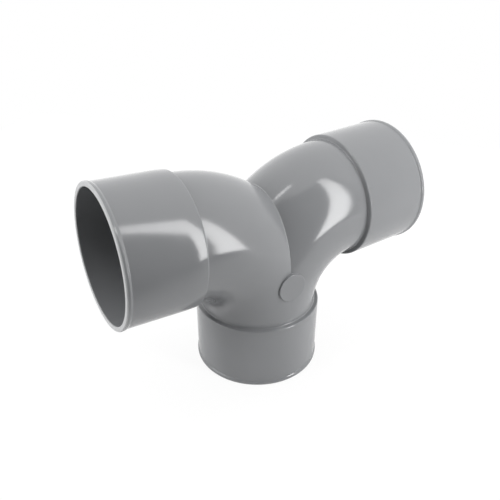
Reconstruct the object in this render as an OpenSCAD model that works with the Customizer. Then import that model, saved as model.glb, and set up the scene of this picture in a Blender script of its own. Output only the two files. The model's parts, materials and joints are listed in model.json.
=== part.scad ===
// Double elbow: one moulded plastic fitting that joins one upright drain pipe to two level runs.
// A tail socket opens downwards. Above it two bends leave back to back, and each ends in an
// arm socket. The bends share one chamber where they part.
// Origin: the middle of the tail's mouth. +Z runs up the tail and +X along one arm.

/* [Pipe] */
// Outside diameter of the pipe that each socket takes
pipe_d = 100; // [80:1:120]
// Play of the pipe in its socket, on the diameter
pipe_play = 0.3; // [0.1:0.05:0.8]

/* [Sockets] */
// Depth of each socket, from its mouth to the ledge that stops the pipe
socket_depth = 52; // [35:0.5:70]
// Wall of the sockets
socket_wall = 3.1; // [2.5:0.1:5]
// Width of the ledge that stops the pipe
stop_ledge = 3.75; // [3:0.05:5]
// Rounding of the ledge's inner edge
stop_round = 1.2; // [0.4:0.1:2]
// Chamfer inside the mouth, which leads the pipe in
lead_in = 0.4; // [0.2:0.1:1.8]

/* [Rim of the mouths] */
// Height of the rim over the socket's wall
rim_proud = 0.8; // [0.4:0.1:2]
// Length of the rim, from the mouth to where it runs out
rim_len = 4.4; // [4:0.1:8]
// Length of the rim's run-out, a soft step down to the wall
rim_fade = 2; // [1:0.1:3]
// Rounding of the rim's front edge
rim_nose = 0.6; // [0.4:0.1:1.4]

/* [Shoulders] */
// Distance from the tail's ledge to its outer shoulder
tail_seat = 4.4; // [2:0.1:12]
// Distance from an arm's ledge to its outer shoulder
arm_seat = 7.4; // [2:0.1:12]
// Length of the shoulder's slope, along the socket's axis
shoulder_rise = 0.7; // [0.4:0.1:3]
// Rounding of the shoulder's outer edge
shoulder_round = 1.2; // [0.5:0.1:2.2]
// Rounding of the shoulder's foot
foot_round = 1; // [0.4:0.1:1.8]

/* [Bends] */
// Wall of the bends and necks
body_wall = 3.2; // [2.5:0.1:5]
// Radius of each bend, on its centreline
bend_r = 72.5; // [66:0.5:110]
// Angle through which each bend turns
bend_angle = 87.5; // [75:0.5:92]
// Straight neck between the tail's shoulder and the bends
tail_neck = 4.2; // [3.5:0.1:30]
// Straight neck between a bend and its arm's shoulder
arm_neck = 3.6; // [3.5:0.1:30]
// Step from the bends out to the tail's neck, inside and outside, left by the mould's split
mould_step = 0.1; // [0.05:0.05:0.4]

/* [Front pad] */
// Diameter of the flat round pad on the front
pad_d = 24; // [10:0.5:40]
// Height of the pad's face over the fattest part of the bends
pad_proud = 1.5; // [0.8:0.1:4]
// Height of the pad's centre above the start of the bends
pad_rise = 31.5; // [15:0.5:55]

/* [Hidden] */

pipe_grey = [0.56, 0.57, 0.58];

// Facets of a full turn, and steps of a rounded corner
turn_steps = 144;
corner_steps = 6;
// How far a cut runs past the face that it opens
overcut = 2;
// How far the ring of a bend turns on below the bend's start, before it is cut level
overturn = 5;
// How far a neck's core runs on into its bend, so that the two overlap
core_len = 1;
// How much less the core's radius is than its neck's, so that the core stays inside the bend
core_gap = 2 * mould_step;

socket_r = (pipe_d + pipe_play) / 2;
socket_outer_r = socket_r + socket_wall;
rim_r = socket_outer_r + rim_proud;
waterway_r = socket_r - stop_ledge;
body_r = waterway_r + body_wall;

// Each socket's outer length, from its mouth to its shoulder
tail_len = socket_depth + tail_seat;
arm_len = socket_depth + arm_seat;

// Where the bends start, and the length of an arm from its bend to its mouth
bend_z = tail_len + tail_neck;
arm_run = arm_len + arm_neck;

// The rim's run-out is two equal arcs that turn against each other
fade_round = (rim_fade * rim_fade + rim_proud * rim_proud) / (4 * rim_proud);

// Points of an arc that rounds the corner at b, on the way from a to c
function rounded(a, b, c, r) =
    let (
        back = (a - b) / norm(a - b),
        ahead = (c - b) / norm(c - b),
        half = acos(back * ahead) / 2,
        centre = b + (back + ahead) / norm(back + ahead) * r / sin(half),
        first = b + back * r / tan(half) - centre,
        last = b + ahead * r / tan(half) - centre,
        sweep = atan2(first.x * last.y - first.y * last.x, first * last)
    )
    [for (i = [0 : corner_steps])
        let (t = sweep * i / corner_steps)
        centre + [first.x * cos(t) - first.y * sin(t), first.x * sin(t) + first.y * cos(t)]];

// Points of a soft step from radius r1 at height h1 to a smaller radius r2 at height h2
function soft_step(r1, h1, r2, h2, r) =
    let (reach = asin((h2 - h1) / 2 / r))
    concat(
        [for (i = [0 : corner_steps])
            let (t = reach * i / corner_steps)
            [r1 - r * (1 - cos(t)), h1 + r * sin(t)]],
        [for (i = [1 : corner_steps])
            let (t = reach * (1 - i / corner_steps))
            [r2 + r * (1 - cos(t)), h2 - r * sin(t)]]
    );

// Points of a neck's end, with its core
function neck_end(neck_r, top) =
    [
        [neck_r, top],
        [neck_r - core_gap, top],
        [neck_r - core_gap, top + core_len],
        [0, top + core_len]
    ];

// Outside of a socket and its neck as a solid plug, with its mouth at z = 0
module socket_plug(len, neck, neck_r) {
    mouth_edge = [rim_r, 0];
    shoulder = [socket_outer_r, len];
    foot = [neck_r, len + shoulder_rise];
    top = len + neck;
    rotate_extrude($fn = turn_steps)
        polygon(concat(
            [[0, 0]],
            rounded([0, 0], mouth_edge, [rim_r, rim_len], rim_nose),
            soft_step(rim_r, rim_len - rim_fade, socket_outer_r, rim_len, fade_round),
            rounded([socket_outer_r, 0], shoulder, foot, shoulder_round),
            rounded(shoulder, foot, [neck_r, top], foot_round),
            neck_end(neck_r, top)
        ));
}

// Inside of the same socket: the lead-in, the pipe's seat, the ledge and the waterway
module socket_hollow(len, neck, neck_r) {
    ledge_edge = [neck_r, socket_depth];
    top = len + neck;
    rotate_extrude($fn = turn_steps)
        polygon(concat(
            [
                [0, -overcut],
                [socket_r + lead_in + overcut, -overcut],
                [socket_r, lead_in],
                [socket_r, socket_depth]
            ],
            rounded([socket_r, socket_depth], ledge_edge, [neck_r, top], stop_round),
            neck_end(neck_r, top)
        ));
}

// The place where the +X bend ends, with +Z pointing out along its arm
module at_bend_end() {
    translate([bend_r, 0, bend_z])
        rotate([0, bend_angle, 0])
            translate([-bend_r, 0, 0])
                children();
}

// The +X side above the tail's neck: a bend at radius r, and its arm, which the child gives as a
// socket with its mouth at z = 0. The bend is a sector of a ring that ends square at the arm and
// starts below the bend. The two are joined in the frame of the bend's end, where their ends meet
// exactly, and are then cut off level at the tail's neck and upright at the middle plane.
module bend_and_arm(r) {
    reach = bend_r + arm_run + rim_r + overcut;
    intersection() {
        at_bend_end() {
            translate([bend_r, 0, 0])
                rotate([90, 0, 0])
                    rotate_extrude(start = 180, angle = bend_angle + overturn, $fn = turn_steps)
                        translate([bend_r, 0])
                            circle(r = r, $fn = turn_steps);
            translate([0, 0, arm_run])
                rotate([180, 0, 0])
                    children();
        }
        translate([0, -reach, bend_z])
            cube([reach, 2 * reach, reach]);
    }
}

module both_sides() {
    children();
    mirror([1, 0, 0])
        children();
}

// Outside of the whole fitting, filled
module skin() {
    socket_plug(tail_len, tail_neck, body_r + mould_step);
    both_sides()
        bend_and_arm(body_r)
            socket_plug(arm_len, arm_neck, body_r);
}

// Everything inside it: three sockets and the chamber that joins them
module waterway() {
    socket_hollow(tail_len, tail_neck, waterway_r + mould_step);
    both_sides()
        bend_and_arm(waterway_r)
            socket_hollow(arm_len, arm_neck, waterway_r);
}

// Flat round pad on the front, over the foot of the crease between the bends
module front_pad() {
    translate([0, 0, bend_z + pad_rise])
        rotate([90, 0, 0])
            cylinder(d = pad_d, h = body_r + pad_proud, $fn = turn_steps);
}

module double_elbow() {
    color(pipe_grey)
        difference() {
            union() {
                skin();
                front_pad();
            }
            waterway();
        }
}

double_elbow();
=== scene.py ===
# %% [markdown]
# # A moulded double elbow for a drain
#
# The object is one piece of grey rigid PVC. An upright socket at the bottom, the tail, takes a
# pipe from below. Above it two bends leave back to back, and each ends in a nearly level socket,
# an arm. This lesson loads the measured model, sweeps the fitting's wall again with Geometry
# Nodes so that its edges have their true small roundings, gives it the satin finish of moulded
# plastic, and lights it as a studio would.

import json
import math

import bmesh
import bpy
from mathutils import Matrix, Vector


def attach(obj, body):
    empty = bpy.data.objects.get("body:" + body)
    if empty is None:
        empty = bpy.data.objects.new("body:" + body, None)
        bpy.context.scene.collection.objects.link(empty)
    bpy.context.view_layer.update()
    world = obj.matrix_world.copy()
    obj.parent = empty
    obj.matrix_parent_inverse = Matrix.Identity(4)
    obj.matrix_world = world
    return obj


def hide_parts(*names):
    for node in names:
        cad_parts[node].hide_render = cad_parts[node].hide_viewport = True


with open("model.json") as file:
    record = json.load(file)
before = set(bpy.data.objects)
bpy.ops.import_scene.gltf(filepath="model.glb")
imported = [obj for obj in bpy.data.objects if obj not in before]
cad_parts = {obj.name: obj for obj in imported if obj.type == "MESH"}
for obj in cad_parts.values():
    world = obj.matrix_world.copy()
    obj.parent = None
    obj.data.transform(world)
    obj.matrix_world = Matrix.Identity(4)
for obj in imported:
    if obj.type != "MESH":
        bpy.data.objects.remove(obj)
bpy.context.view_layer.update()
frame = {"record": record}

# %% [markdown]
# ## The sizes
#
# The model's record states how wide the bores of the sockets are. All other sizes of the wall are
# written here once, in millimetres, because that is how a maker would give them. Only the last
# step turns them into metres. In the photograph the arms' mouths have a rounder nose than the
# tail's, so each has its own. The rims are a hair lower than measured, which keeps the looks
# inside the measured box.

# %% Sizes of the sockets
MM = 0.001

mounts = {mount["name"]: mount for mount in frame["record"]["mounts"]}
bore_r = mounts["tail_socket"]["dims"]["r_mm"]

socket_depth = 52.0
socket_wall = 3.1
stop_ledge = 3.75
stop_round = 1.2
lead_in = 0.4

hair = 0.04
rim_proud = 0.8
rim_len = 4.4
rim_fade = 2.0
tail_nose = 0.6
arm_nose = 1.0

tail_seat = 4.4
arm_seat = 7.4
shoulder_rise = 0.7
shoulder_round = 1.2
foot_round = 1.0

tail_len = socket_depth + tail_seat
arm_len = socket_depth + arm_seat
socket_outer_r = bore_r + socket_wall
rim_r = socket_outer_r + rim_proud - hair
print(f"bores of {bore_r:.2f} mm radius, rims of {rim_r:.2f} mm")

# %% Sizes of the bends
wall = 3.2
bend_r = 72.5
bend_angle = math.radians(87.5)
tail_neck = 4.2
arm_neck = 3.6
mould_step = 0.1

waterway_r = bore_r - stop_ledge
body_r = waterway_r + wall

bend_start = tail_len + tail_neck
bend_end = bend_start + bend_r * bend_angle
path_end = bend_end + arm_neck + arm_len
print(f"wall from {waterway_r:.2f} to {body_r:.2f} mm, path {path_end:.1f} mm long")

# %% [markdown]
# ## The camera
#
# The camera stands in front of the fitting, to the left and above it, and close to it: the near
# mouth looks much larger than the far one. Angle, distance and lens were worked out from the
# outline in the photograph, so the numbers aren't round.

# %% Camera
camera_left = math.radians(32.1814)
camera_up = math.radians(30.5371)
camera_roll = math.radians(0.2306)
camera_distance = 0.4595
camera_aim = Vector((-0.006957, 0.0008017, 0.1028403))

towards_camera = Vector((
    -math.sin(camera_left) * math.cos(camera_up),
    -math.cos(camera_left) * math.cos(camera_up),
    math.sin(camera_up),
))
level_right = Vector((math.cos(camera_left), -math.sin(camera_left), 0))
steep_up = towards_camera.cross(level_right)
right = level_right * math.cos(camera_roll) + steep_up * math.sin(camera_roll)
up = steep_up * math.cos(camera_roll) - level_right * math.sin(camera_roll)

camera_data = bpy.data.cameras.new("camera")
camera_data.sensor_width = 36
camera_data.lens = 39.761
camera_data.clip_start = 0.01
camera = bpy.data.objects.new("camera", camera_data)
camera_turn = Matrix((right, up, towards_camera)).transposed().to_4x4()
camera.matrix_world = (
    Matrix.Translation(camera_aim + towards_camera * camera_distance) @ camera_turn
)
bpy.context.scene.collection.objects.link(camera)
bpy.context.scene.camera = camera
print("camera at", tuple(round(value, 3) for value in camera.location))

# %% [markdown]
# ## The section of the wall
#
# Cut along its path, the wall is a long thin closed outline: up the outside of the tail, round
# the bend, out to the arm's mouth, and back along the inside. Each point is a distance along the
# path and a distance from it. Moulded plastic has no knife edges, so each corner gets a few
# points on an arc. A Bevel modifier could round the corners later, but an arc in the section has
# its own radius at each corner. A straight run gets an extra point close to each of its ends,
# which keeps the smooth shading from bleeding out of the arc.

# %% Corners, soft steps and runs
def corner(before, at, after, radius, steps=6):
    """Points of an arc that rounds the corner `at`."""
    before, at, after = Vector(before), Vector(at), Vector(after)
    back = (before - at).normalized()
    ahead = (after - at).normalized()
    half = math.acos(max(-1.0, min(1.0, back.dot(ahead)))) / 2
    centre = at + (back + ahead).normalized() * radius / math.sin(half)
    first = at + back * radius / math.tan(half) - centre
    last = at + ahead * radius / math.tan(half) - centre
    sweep = math.atan2(first.x * last.y - first.y * last.x, first.dot(last))
    return [
        centre + Matrix.Rotation(sweep * i / steps, 2) @ first
        for i in range(steps + 1)
    ]


def soft_step(start, end, steps=6):
    """Points of a curve like a lying S, level at both ends."""
    (s1, r1), (s2, r2) = start, end
    points = []
    for i in range(2 * steps + 1):
        share = i / (2 * steps)
        rise = (r2 - r1) * share * share * (3 - 2 * share)
        points.append(Vector((s1 + (s2 - s1) * share, r1 + rise)))
    return points


def run(start, end, spacing=7.0, guard=0.25):
    """Points between two ends, with one close to each end."""
    start, end = Vector(start), Vector(end)
    length = (end - start).length
    if length < 3 * guard:
        return []
    along = (end - start) / length
    inner = length - 2 * guard
    pieces = max(1, math.ceil(inner / spacing))
    return [start + along * (guard + inner * i / pieces) for i in range(pieces + 1)]


def joined(*stretches):
    """The stretches one after another, with a run of points across each gap."""
    points = list(stretches[0])
    for stretch in stretches[1:]:
        points += run(points[-1], stretch[0])
        points += stretch
    return points


# %% [markdown]
# Both bends are the same tube, and each is cut off where it would pass the middle plane. The cut
# edge is the crease between them. A Boolean could cut them, but rows that follow the crease keep
# the faces even and clean. Each row of points round the bend keeps the same share of the way from
# the crease, or from the tail on the far side, to the arm. The first rows are close together,
# because they carry the crease's small rounding.

# %% Rows of points round the bend
even_rows = 5
growth = 1.25


def bend_rows(radius, fine_gap, coarse_gap):
    """Distances along the path for rows that start close together and spread out."""
    saddle = math.acos(bend_r / (bend_r + radius))
    length = (bend_r + radius) * (bend_angle - saddle)
    shares, reached, gap = [], fine_gap, fine_gap
    while reached < length - gap / 2:
        shares.append(reached / length)
        if len(shares) > even_rows:
            gap = min(gap * growth, coarse_gap)
        reached += gap
    return [Vector((bend_start + (bend_end - bend_start) * share, radius)) for share in shares]


# %% [markdown]
# The left arm's socket ends in a soft roll, which the strip light draws as a fan of light. The
# other two sockets run straight up to a crisp shoulder. The roll is a curve that starts level and
# steepens up to the shoulder.

# %% The roll before a shoulder
roll_len = 12.0
left_roll = 0.45


def rolled(start, end, steps=9):
    """Points of a curve that starts level and falls faster and faster to its end."""
    fall = start[1] - end[1]
    return [
        Vector((start[0] + (end[0] - start[0]) * i / steps, start[1] - fall * (i / steps) ** 2))
        for i in range(steps + 1)
    ]


# %% [markdown]
# A socket's outside starts at the middle of its mouth's face and runs over the nose of the rim,
# down the rim's soft run-out, along the wall and over the shoulder to the neck. Its inside has
# the small bevel that leads the pipe in, the bore, and the ledge that stops the pipe. A corner
# only needs the way in which its last side leaves, so any point onward along the neck will do.

# %% Outside and inside of a socket
mouth_edge = 0.25
bevel_edge = 0.5
seat_corner = 0.3
onward = 10


def socket_outside(length, neck_r, nose, roll=0.0):
    """Outside of a socket from its mouth to its neck, with the mouth at 0."""
    face = (0, bore_r + lead_in)
    rim_end = (rim_len - rim_fade, rim_r)
    roll_start = (length - roll_len, socket_outer_r)
    roll_end = (length - shoulder_round, socket_outer_r - roll)
    last_slope = 2 * roll / (roll_len - shoulder_round)
    shoulder = (length, socket_outer_r - roll - last_slope * shoulder_round)
    foot = (length + shoulder_rise, neck_r)
    return joined(
        corner(face, (0, rim_r), rim_end, nose),
        soft_step(rim_end, (rim_len, socket_outer_r)),
        rolled(roll_start, roll_end),
        corner(roll_end, shoulder, foot, shoulder_round),
        corner(shoulder, foot, (length + onward, neck_r), foot_round),
    )


def socket_inside(neck_r):
    """Inside of a socket from its mouth to the waterway, with the mouth at 0."""
    bevel_out = (0, bore_r + lead_in)
    bevel_in = (lead_in, bore_r)
    seat = (socket_depth, bore_r)
    ledge = (socket_depth, neck_r)
    return joined(
        corner((0, rim_r), bevel_out, bevel_in, mouth_edge, 3),
        corner(bevel_out, bevel_in, seat, bevel_edge, 3),
        corner(bevel_in, seat, ledge, seat_corner, 4),
        corner(seat, ledge, (socket_depth + onward, neck_r), stop_round),
    )


# %% [markdown]
# The tail's section runs from the bends down its inside, round the mouth and up its outside. At
# the top the mould's split leaves a step of a tenth of a millimetre. An arm's section starts at
# the same two points and runs out along the bend and back inside. The right and the left arm
# differ in their roll alone.

# %% The sections of the tail and the arms
mould_step_len = 0.3
outer_gaps = (0.17, 2.6)
inner_gaps = (0.2, 3.6)


def tail_side(socket, radius):
    """A side of the tail from its mouth up to the bends, with the mould's small step."""
    low_end = (bend_start - mould_step_len, radius + mould_step)
    return joined(socket, soft_step(low_end, (bend_start, radius), 2))


def arm_side(socket, radius, gaps):
    """A side of a bend and its arm from the bend's start to the arm's mouth."""
    start_point = [Vector((bend_start, radius))]
    end_point = [Vector((bend_end, radius))]
    from_mouth = [Vector((path_end - point.x, point.y)) for point in reversed(socket)]
    return joined(start_point + bend_rows(radius, *gaps) + end_point, from_mouth)


tail_section = joined(
    tail_side(socket_inside(waterway_r + mould_step), waterway_r)[::-1],
    tail_side(socket_outside(tail_len, body_r + mould_step, tail_nose), body_r),
)
right_section, left_section = (
    joined(
        arm_side(socket_outside(arm_len, body_r, arm_nose, roll), body_r, outer_gaps),
        arm_side(socket_inside(waterway_r), waterway_r, inner_gaps)[::-1],
    )
    for roll in (0.0, left_roll)
)
print(len(tail_section), "points in the tail's section,", len(left_section), "in an arm's")

# %% [markdown]
# ## Sweep the sections with Geometry Nodes
#
# The shape follows one rule, so a node tree can make it. A flat grid has one row for each point
# of a section and enough columns to go round the tube. Each grid point looks up its place in
# the section, and the tree works out the centre of the tube there: straight up the tail, on an
# arc round the bend, and straight again along the arm. It then turns the point round that centre.
# The tree makes a quarter of the fitting, and a size of -1 for its side mirrors it to the left.

# %% Arithmetic with nodes
class Field:
    """A node's output that can be added and multiplied like a number."""

    def __init__(self, socket):
        self.socket = socket

    def __add__(self, other):
        return step("ADD", self, other)

    def __sub__(self, other):
        return step("SUBTRACT", self, other)

    def __rsub__(self, other):
        return step("SUBTRACT", other, self)

    def __mul__(self, other):
        return step("MULTIPLY", self, other)

    def __truediv__(self, other):
        return step("DIVIDE", self, other)


def connect(value, socket):
    """Links a node's output to a socket, or writes a plain value on it."""
    if isinstance(value, Field):
        value = value.socket
    if isinstance(value, bpy.types.NodeSocket):
        socket.id_data.links.new(value, socket)
    else:
        socket.default_value = value


def reckon(owner, kind, operation, *values):
    """One Math or Vector Math node in the tree `owner`, fed with links and plain values."""
    node = owner.nodes.new(kind)
    node.operation = operation
    for value, socket in zip(values, node.inputs):
        connect(value, socket)
    return node.outputs["Value" if operation == "DOT_PRODUCT" else 0]


def step(operation, *values):
    """One Math node in the sweep's tree, fed with numbers and fields."""
    return Field(reckon(tree, "ShaderNodeMath", operation, *values))


def between(value, low, high):
    """The value, kept between two others."""
    return step("MINIMUM", step("MAXIMUM", value, low), high)


def vector(x, y, z):
    """A vector field from three number fields."""
    node = tree.nodes.new("ShaderNodeCombineXYZ")
    for value, socket in zip((x, y, z), node.inputs):
        connect(value, socket)
    return node.outputs[0]


# %% The tree and its named inputs
tree = bpy.data.node_groups.new("swept_wall", "GeometryNodeTree")
tree.interface.new_socket("Geometry", in_out="OUTPUT", socket_type="NodeSocketGeometry")
tree.interface.new_socket("Section", in_out="INPUT", socket_type="NodeSocketGeometry")

sizes = {
    "Columns": ("NodeSocketInt", 193),
    "First turn": ("NodeSocketFloat", 0.0),
    "Last turn": ("NodeSocketFloat", 1.0),
    "Crowding": ("NodeSocketFloat", 0.6),
    "Bend radius": ("NodeSocketFloat", bend_r * MM),
    "Bend start": ("NodeSocketFloat", bend_start * MM),
    "Bend angle": ("NodeSocketFloat", bend_angle),
    "Crease rounding": ("NodeSocketFloat", 1.4 * MM),
    "Side": ("NodeSocketFloat", 1.0),
    "Finish": ("NodeSocketMaterial", None),
}
identifiers = {
    name: tree.interface.new_socket(name, in_out="INPUT", socket_type=kind).identifier
    for name, (kind, value) in sizes.items()
}
entry = tree.nodes.new("NodeGroupInput")
columns, first_turn, last_turn, crowding, radius_of_bend, start, full_angle, rounding, side = (
    Field(entry.outputs[name]) for name in sizes if name != "Finish"
)
print("inputs:", ", ".join(identifiers))

# %% [markdown]
# The grid's points are numbered along its rows, so a division of the number gives the column and
# what is left over gives the row. The row picks the point of the section.

# %% A grid with a row for each point of the section
section_size = tree.nodes.new("GeometryNodeAttributeDomainSize")
connect(entry.outputs["Section"], section_size.inputs["Geometry"])
rows = Field(section_size.outputs["Point Count"])

grid = tree.nodes.new("GeometryNodeMeshGrid")
connect(columns, grid.inputs["Vertices X"])
connect(rows, grid.inputs["Vertices Y"])

index = Field(tree.nodes.new("GeometryNodeInputIndex").outputs[0])
row = step("ROUND", step("MODULO", index, rows))
column = step("FLOOR", (index + 0.5) / rows)

lookup = tree.nodes.new("GeometryNodeSampleIndex")
lookup.data_type = "FLOAT_VECTOR"
place = tree.nodes.new("GeometryNodeInputPosition")
connect(entry.outputs["Section"], lookup.inputs["Geometry"])
connect(place.outputs[0], lookup.inputs["Value"])
connect(row, lookup.inputs["Index"])
split = tree.nodes.new("ShaderNodeSeparateXYZ")
connect(lookup.outputs["Value"], split.inputs[0])
along = Field(split.outputs["X"])
radius = Field(split.outputs["Y"])

# %% [markdown]
# A turn of nothing faces the crease, and half a turn faces the outside of the bend. The columns
# crowd a little towards the crease. The crease lies where the bend's tube meets the middle plane,
# and trigonometry gives its angle round the bend for each column. On the far side there is no
# crease, and the bend starts at the tail.

# %% The turn round the centre, and where each column starts
share = first_turn + column / (columns - 1.0) * (last_turn - first_turn)
around = share * (2 * math.pi) + crowding * step("SINE", share * (4 * math.pi)) * 0.5
outwards = step("COSINE", around)
sideways = step("SINE", around)
from_axis = radius_of_bend + radius * outwards
crease_angle = step("ARCCOSINE", step("MINIMUM", radius_of_bend / from_axis, 1.0))

# %% [markdown]
# The path is straight before the bend and after it. Along the bend itself, the angle grows from
# the crease to the bend's end in the same share for each column, so the last row is square to
# the arm.

# %% The place of each point
past_start = along - start
bend_length = radius_of_bend * full_angle
progress = between(past_start / bend_length, 0.0, 1.0)
angle = crease_angle + (full_angle - crease_angle) * progress
before_bend = step("MINIMUM", past_start, 0.0)
after_bend = step("MAXIMUM", past_start - bend_length, 0.0)
sine = step("SINE", angle)
cosine = step("COSINE", angle)
x = radius_of_bend - from_axis * cosine + after_bend * sine
y = radius * sideways
z = start + before_bend + from_axis * sine + after_bend * cosine

# %% [markdown]
# Where the two bends meet, the tool that made the mould has left a small rounding along the
# crease. A circle that touches both slopes tells how far each point near the middle plane has to
# move out. Where there is no crease, as along the tail, the slope turns the other way and the
# points stay where they are.

# %% The rounding of the crease
slope_in = outwards * cosine
steepness = step("SQRT", step("MAXIMUM", 1.0 - slope_in * slope_in, 1e-6))
filled = (
    rounding / steepness
    - step("SQRT", step("MAXIMUM", rounding * rounding - x * x, 0.0))
    - x * slope_in / steepness
)
lift = filled * step("LESS_THAN", x, rounding * slope_in)
y = y + lift * sideways / steepness
z = z + lift * outwards * sine / steepness

# %% [markdown]
# The faces of the right half point into the plastic, so they are flipped. On the left the mirror
# has already turned them round. Points that fall together are merged, which closes the arm's seam.

# %% The side and the finish
seam_gap = 0.0002 * MM

placed = tree.nodes.new("GeometryNodeSetPosition")
connect(grid.outputs["Mesh"], placed.inputs["Geometry"])
connect(vector(x * side, y, z), placed.inputs["Position"])
flipped = tree.nodes.new("GeometryNodeFlipFaces")
connect(placed.outputs[0], flipped.inputs["Mesh"])
connect(step("GREATER_THAN", side, 0.0), flipped.inputs["Selection"])
merged = tree.nodes.new("GeometryNodeMergeByDistance")
connect(flipped.outputs[0], merged.inputs["Geometry"])
connect(seam_gap, merged.inputs["Distance"])
smooth = tree.nodes.new("GeometryNodeSetShadeSmooth")
connect(merged.outputs[0], smooth.inputs["Geometry"])
realized = tree.nodes.new("GeometryNodeRealizeInstances")
connect(smooth.outputs[0], realized.inputs[0])
painted = tree.nodes.new("GeometryNodeSetMaterial")
connect(realized.outputs[0], painted.inputs["Geometry"])
connect(entry.outputs["Finish"], painted.inputs["Material"])
leave = tree.nodes.new("NodeGroupOutput")
connect(painted.outputs[0], leave.inputs[0])
print(len(tree.nodes), "nodes in the tree")

# %% [markdown]
# ## The plastic
#
# Rigid PVC for drains is a plain mid grey with a satin skin. The melt never mixes quite evenly,
# so the grey drifts very slightly over some centimetres, and the skin copies the fine texture of
# the steel mould, which makes the gloss uneven. One colour and one gloss would look like a toy's,
# so a noise in the piece's own coordinates moves each of them a little.

# %% Helpers for finishes
def change(owner, source, start, end, low=0.0, high=1.0, course="SMOOTHSTEP"):
    """A change from `low` to `high` as the source goes from `start` to `end`."""
    node = owner.nodes.new("ShaderNodeMapRange")
    node.interpolation_type = course
    limits = {"From Min": start, "From Max": end, "To Min": low, "To Max": high}
    for name, value in limits.items():
        connect(value, node.inputs[name])
    connect(source, node.inputs["Value"])
    return node.outputs["Result"]


def noise(scale, detail):
    """A noise texture on the piece's own coordinates."""
    node = skin_tree.nodes.new("ShaderNodeTexNoise")
    connect(scale, node.inputs["Scale"])
    connect(detail, node.inputs["Detail"])
    connect(place_here, node.inputs["Vector"])
    return node.outputs["Fac"]


def blended(share, first, second):
    """A colour between two others; each is a link or red, green and blue."""
    node = skin_tree.nodes.new("ShaderNodeMix")
    node.data_type = "RGBA"
    connect(share, node.inputs["Factor"])
    for value, name in ((first, "A"), (second, "B")):
        connect((*value, 1) if isinstance(value, tuple) else value, node.inputs[name])
    return node.outputs["Result"]


# %% Moulded plastic
darker_grey = (0.204, 0.209, 0.216)
lighter_grey = (0.216, 0.221, 0.228)
glossiest, dullest = 0.11, 0.14

plastic = bpy.data.materials.new("moulded_grey_plastic")
plastic.use_nodes = True
skin_tree = plastic.node_tree
shader = skin_tree.nodes["Principled BSDF"]
connect(1.53, shader.inputs["IOR"])
place_here = skin_tree.nodes.new("ShaderNodeTexCoord").outputs["Object"]

drift = change(skin_tree, noise(18, 3), 0.3, 0.7, course="LINEAR")
grey = blended(drift, darker_grey, lighter_grey)
satin = change(skin_tree, noise(45, 4), 0.3, 0.7, glossiest, dullest, "LINEAR")

grain = skin_tree.nodes.new("ShaderNodeBump")
connect(0.02, grain.inputs["Strength"])
connect(0.2 * MM, grain.inputs["Distance"])
connect(noise(900, 2), grain.inputs["Height"])
connect(grain.outputs["Normal"], shader.inputs["Normal"])
print("grey from", darker_grey, "to", lighter_grey)

# %% [markdown]
# The flat face of each mouth is painted a paler grey, a painted highlight for the light that these
# faces catch, and it is given a duller gloss. It could have a material of its own, but then the
# grey would end at a row of the mesh. Here the finish knows those faces by their place: the tail's
# is the lowest plane of the piece, and each arm's is square to the arm, at the arm's far end. With
# the sign of X dropped, one plane serves both arms.

# %% Painted highlight on the faces of the mouths
# Painted highlight: the mouths' flat faces are painted paler than the skin to stand in for the
# light they catch.
painted_highlight_grey = (0.42, 0.425, 0.43)
highlight_face_dullness = 0.45
highlight_face_depth = 1.3 * MM

arm_way = Vector((math.sin(bend_angle), 0, math.cos(bend_angle)))
bend_end_place = Vector((
    bend_r * (1 - math.cos(bend_angle)), 0, bend_start + bend_r * math.sin(bend_angle),
))
arm_reach = (bend_end_place + arm_way * (arm_neck + arm_len)).dot(arm_way) * MM
print(f"an arm's face lies {arm_reach / MM:.1f} mm out along the arm")

one_side = reckon(skin_tree, "ShaderNodeVectorMath", "ABSOLUTE", place_here)
along_arm = reckon(skin_tree, "ShaderNodeVectorMath", "DOT_PRODUCT", one_side, arm_way)
height_here = skin_tree.nodes.new("ShaderNodeSeparateXYZ")
connect(place_here, height_here.inputs[0])
at_arm = change(skin_tree, along_arm, arm_reach - highlight_face_depth, arm_reach - highlight_face_depth / 3)
at_tail = change(skin_tree, height_here.outputs["Z"], highlight_face_depth, highlight_face_depth / 3)
painted_highlight_mask = reckon(skin_tree, "ShaderNodeMath", "MAXIMUM", at_arm, at_tail)
# The painted highlight is mixed into the base colour here.
connect(blended(painted_highlight_mask, grey, painted_highlight_grey), shader.inputs["Base Color"])

dullness = skin_tree.nodes.new("ShaderNodeMix")
connect(painted_highlight_mask, dullness.inputs["Factor"])
connect(satin, dullness.inputs["A"])
connect(highlight_face_dullness, dullness.inputs["B"])
connect(dullness.outputs["Result"], shader.inputs["Roughness"])

# %% [markdown]
# ## Run the tree
#
# The tree runs four times: for each bend with its arm, and for each half of the tail, whose
# columns cover the half turn that faces the outside of the bends. With the same spacing, the
# columns of the four meet point to point at the tail's neck and at the middle plane, so one merge
# closes the whole skin.

# %% Sweep the sections and close the skin
def swept(name, section, **changes):
    """The mesh that the tree makes from a section, with some inputs changed."""
    outline = bpy.data.meshes.new(name)
    outline.from_pydata([(point.x * MM, point.y * MM, 0) for point in section], [], [])
    piece = bpy.data.objects.new(name, outline)
    bpy.context.scene.collection.objects.link(piece)
    modifier = piece.modifiers.new("sweep", "NODES")
    modifier.node_group = tree
    for size, (kind, value) in sizes.items():
        modifier[identifiers[size]] = changes.get(size, value)
    depsgraph = bpy.context.evaluated_depsgraph_get()
    mesh = bpy.data.meshes.new_from_object(piece.evaluated_get(depsgraph))
    bpy.data.objects.remove(piece)
    print(name, len(mesh.vertices), "points,", len(mesh.polygons), "faces")
    return mesh


half_round = {"Columns": 97, "First turn": 0.25, "Last turn": 0.75}
quarters = [
    swept(name, section, Finish=plastic, Side=side_value, **changes)
    for name, section, side_value, changes in (
        ("right_arm", right_section, 1.0, {}),
        ("left_arm", left_section, -1.0, {}),
        ("right_tail", tail_section, 1.0, half_round),
        ("left_tail", tail_section, -1.0, half_round),
    )
]

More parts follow.
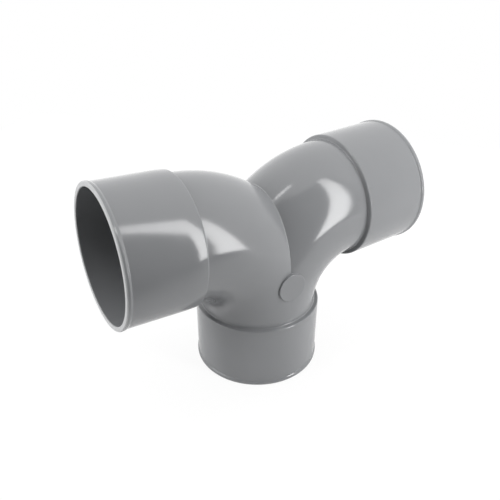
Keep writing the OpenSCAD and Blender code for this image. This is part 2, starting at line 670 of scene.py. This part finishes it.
skin = bmesh.new()
for quarter in quarters:
    skin.from_mesh(quarter)
bmesh.ops.remove_doubles(skin, verts=skin.verts, dist=seam_gap)
gaps = sum(len(edge.link_faces) != 2 for edge in skin.edges)
print(f"{skin.calc_volume(signed=True) / MM ** 3:.0f} cubic millimetres of plastic")
wall_mesh = quarters[0]
skin.to_mesh(wall_mesh)
skin.free()
fitting = bpy.data.objects.new("fitting_wall", wall_mesh)
bpy.context.scene.collection.objects.link(fitting)
print(len(wall_mesh.vertices), "points in the skin,", gaps, "open edges")

# %% [markdown]
# ## The pad on the front
#
# A flat round pad stands just proud of the front, over the lower end of the crease. A cylinder
# with a bevel could make it. Here it is turned like the sockets' corners: a short section with
# its own edge rounding, spun round the pad's axis. Its back ends inside the wall.

# %% Turn the pad
pad_r = 12.0
pad_proud = 1.5
pad_rise = 31.5
pad_edge = 0.35
pad_columns = 96

pad_root = wall * 0.15
pad_face = -(body_r + pad_proud)
pad_back = -(waterway_r + pad_root)

pad_section = joined(
    [Vector((0, pad_face))],
    corner((0, pad_face), (pad_r, pad_face), (pad_r, pad_back), pad_edge, 4),
    [Vector((pad_r, pad_back))],
    [Vector((0, pad_back))],
)
turned = bmesh.new()
first_points = [turned.verts.new((point.x * MM, point.y * MM, 0)) for point in pad_section]
section_edges = [turned.edges.new(pair) for pair in zip(first_points, first_points[1:])]
bmesh.ops.spin(
    turned, geom=first_points + section_edges, axis=(0, 1, 0), cent=(0, 0, 0),
    angle=2 * math.pi, steps=pad_columns, use_merge=True,
)
bmesh.ops.remove_doubles(turned, verts=turned.verts, dist=0.002 * MM)
bmesh.ops.recalc_face_normals(turned, faces=turned.faces)
bmesh.ops.translate(turned, verts=turned.verts, vec=(0, 0, (bend_start + pad_rise) * MM))
for face in turned.faces:
    face.smooth = True
pad_mesh = bpy.data.meshes.new("pad")
turned.to_mesh(pad_mesh)
turned.free()
pad_mesh.materials.append(plastic)
pad = bpy.data.objects.new("pad", pad_mesh)
bpy.context.scene.collection.objects.link(pad)
print(len(pad_mesh.polygons), "faces in the pad")

# %% [markdown]
# The pad and the wall are one moulding, so a Boolean joins them into one closed skin, with a
# crisp line where the pad rises from the bends. Edges that turn by less than 30 degrees are
# shaded smooth. The joined skin then stands in for the measured solid and takes its finish.

# %% Join it to the wall
crisp_angle = math.radians(30)

union = fitting.modifiers.new("pad", "BOOLEAN")
union.operation = "UNION"
union.solver = "EXACT"
union.object = pad
depsgraph = bpy.context.evaluated_depsgraph_get()
whole = bpy.data.meshes.new_from_object(fitting.evaluated_get(depsgraph))
fitting.modifiers.remove(union)
bpy.data.objects.remove(pad)
fitting.data = whole
whole.set_sharp_from_angle(angle=crisp_angle)
print(len(whole.vertices), "points,", len(whole.polygons), "faces with the pad")

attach(fitting, "root")
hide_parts("double_elbow")

# %% [markdown]
# ## The floor
#
# The fitting stands on a plain white floor. In the photograph it is as white as the background
# and takes hardly any shadow, so the camera sees mostly a plain white glow, and a little of the
# lit floor with its shadow. In the plastic the floor shines less, and its front fades out,
# because the darker side of the room begins there. A hard front edge would draw a line along the
# underside of the left arm.

# %% Floor
floor_reach = 0.6
floor_front = 0.25
fade_start = 0.10
floor_turn = Matrix.Rotation(math.radians(-45), 3, "Z")

floor_mesh = bpy.data.meshes.new("floor")
floor_corners = [
    floor_turn @ Vector((x, y, 0))
    for x, y in ((-floor_reach, -floor_front), (floor_reach, -floor_front),
                 (floor_reach, floor_reach), (-floor_reach, floor_reach))
]
floor_mesh.from_pydata(floor_corners, [], [(0, 1, 2, 3)])
floor = bpy.data.objects.new("floor", floor_mesh)
bpy.context.scene.collection.objects.link(floor)
print(f"floor {2 * floor_reach:.1f} m wide, {floor_front:.2f} m to its front edge")


# %% The floor's finish
def mixed(owner, share, first, second):
    """The first shader where the share is 0 and the second where it is 1."""
    node = owner.nodes.new("ShaderNodeMixShader")
    for value, socket in zip((share, first, second), node.inputs):
        connect(value, socket)
    return node.outputs[0]


floor_white = (0.72, 0.72, 0.72, 1)
glow_strength = 1.05
glow_seen = 0.85
glow_mirrored = 0.34

pale = bpy.data.materials.new("pale_floor")
pale.use_nodes = True
floor_tree = pale.node_tree
lit = floor_tree.nodes["Principled BSDF"]
connect(floor_white, lit.inputs["Base Color"])
connect(0.9, lit.inputs["Roughness"])
glow = floor_tree.nodes.new("ShaderNodeEmission")
connect((1, 1, 1, 1), glow.inputs["Color"])
connect(glow_strength, glow.inputs["Strength"])

ray = floor_tree.nodes.new("ShaderNodeLightPath").outputs
shine = reckon(floor_tree, "ShaderNodeMath", "MULTIPLY", ray["Is Glossy Ray"], glow_mirrored)
glow_share = reckon(
    floor_tree, "ShaderNodeMath", "MULTIPLY_ADD", ray["Is Camera Ray"], glow_seen, shine)
white_floor = mixed(floor_tree, glow_share, lit.outputs[0], glow.outputs[0])

on_floor = floor_tree.nodes.new("ShaderNodeTexCoord").outputs["Object"]
forwards = floor_turn @ Vector((0, -1, 0))
ahead = reckon(floor_tree, "ShaderNodeVectorMath", "DOT_PRODUCT", on_floor, forwards)
front_part = change(floor_tree, ahead, fade_start, floor_front)
faded = reckon(floor_tree, "ShaderNodeMath", "MULTIPLY", ray["Is Glossy Ray"], front_part)
clear = floor_tree.nodes.new("ShaderNodeBsdfTransparent")
connect(
    mixed(floor_tree, faded, white_floor, clear.outputs[0]),
    floor_tree.nodes["Material Output"].inputs["Surface"],
)
floor_mesh.materials.append(pale)

# %% [markdown]
# ## The room
#
# Most of the light comes from white walls all round. The side that the camera stands on is dark
# up to a steep height, which gives the round shapes their depth, as a black board would. The
# world's shader can do this without any board: it compares the way in which it is looked at with
# the way to the dark side, and fades at the edges given here in degrees. Far down, past the
# floor's front, the room is only half dark. The camera itself sees plain white all round.

# %% White walls and a dark side
wall_strength = 1.25
dark_side = (-0.3, -0.954, 0)
side_edges = (60, 48)
top_edges = (60, 75)
low_edges = (-52, -42)
low_share = 0.5

world = bpy.data.worlds.new("studio")
bpy.context.scene.world = world
world.use_nodes = True
room = world.node_tree
white_walls = room.nodes["Background"]
connect((1, 1, 1, 1), white_walls.inputs["Color"])

looking = room.nodes.new("ShaderNodeTexCoord").outputs["Generated"]
level = reckon(room, "ShaderNodeVectorMath", "MULTIPLY", looking, (1, 1, 0))
level_way = reckon(room, "ShaderNodeVectorMath", "NORMALIZE", level)
facing = reckon(room, "ShaderNodeVectorMath", "DOT_PRODUCT", level_way, dark_side)
split_way = room.nodes.new("ShaderNodeSeparateXYZ")
connect(looking, split_way.inputs[0])
rise_of_way = split_way.outputs["Z"]

side_cosines = [math.cos(math.radians(edge)) for edge in side_edges]
top_sines = [math.sin(math.radians(edge)) for edge in top_edges]
low_sines = [math.sin(math.radians(edge)) for edge in low_edges]
beside = change(room, facing, *side_cosines)
under_top = change(room, rise_of_way, *top_sines, 1.0, 0.0)
over_low = change(room, rise_of_way, *low_sines, low_share, 1.0)
darkness = reckon(
    room, "ShaderNodeMath", "MULTIPLY",
    reckon(room, "ShaderNodeMath", "MULTIPLY", beside, under_top), over_low)
connect(change(room, darkness, 0.0, 1.0, wall_strength, 0.0), white_walls.inputs["Strength"])

backdrop = room.nodes.new("ShaderNodeBackground")
connect((1, 1, 1, 1), backdrop.inputs["Color"])
connect(1.0, backdrop.inputs["Strength"])
camera_ray = room.nodes.new("ShaderNodeLightPath").outputs["Is Camera Ray"]
connect(
    mixed(room, camera_ray, white_walls.outputs[0], backdrop.outputs[0]),
    room.nodes["World Output"].inputs["Surface"],
)
print("walls of strength", wall_strength, "with a dark side towards", dark_side)

# %% [markdown]
# ## Soft lights
#
# A tall narrow soft light at the front right draws the bright stripes on the left arm and on
# both bends. It stands before the edge of the dark side, so the stripes are bright against dark.
# A broad panel on the left lights the shaded side a little. A small lamp high up on the left
# draws the short stroke on the right bend, beside the saddle. Rectangular area lamps suit all
# three, because a gloss mirrors the outline of its lamp.

# %% Strip, panel and small lamp
def soft_light(name, place, width, height, radiance, aim=(0, 0, 0.1), spread=180):
    """A rectangular softbox; radiance is its brightness, where 1 is white."""
    data = bpy.data.lights.new(name, "AREA")
    data.shape = "RECTANGLE"
    data.size = width
    data.size_y = height
    data.spread = math.radians(spread)
    data.energy = radiance * math.pi * width * height
    lamp = bpy.data.objects.new(name, data)
    lamp.location = place
    away = Vector(place) - Vector(aim)
    lamp.rotation_euler = away.to_track_quat("Z", "Y").to_euler()
    bpy.context.scene.collection.objects.link(lamp)
    print(f"{name}: {data.energy:.1f} W")


soft_light("strip", (0.343, -0.666, 0.95), width=0.25, height=1.90, radiance=9.6,
           aim=(0.548, -0.031, 0.95), spread=160)
soft_light("left_box", (-0.98, 0.17, 0.42), width=0.6, height=0.9, radiance=2.6)
soft_light("small_lamp", (-0.48, 0.0, 1.5), width=0.12, height=0.4, radiance=7.0)

# %% [markdown]
# ## The colour view
#
# Standard shows each colour as it is written.

# %% Colour view
bpy.context.scene.view_settings.view_transform = "Standard"
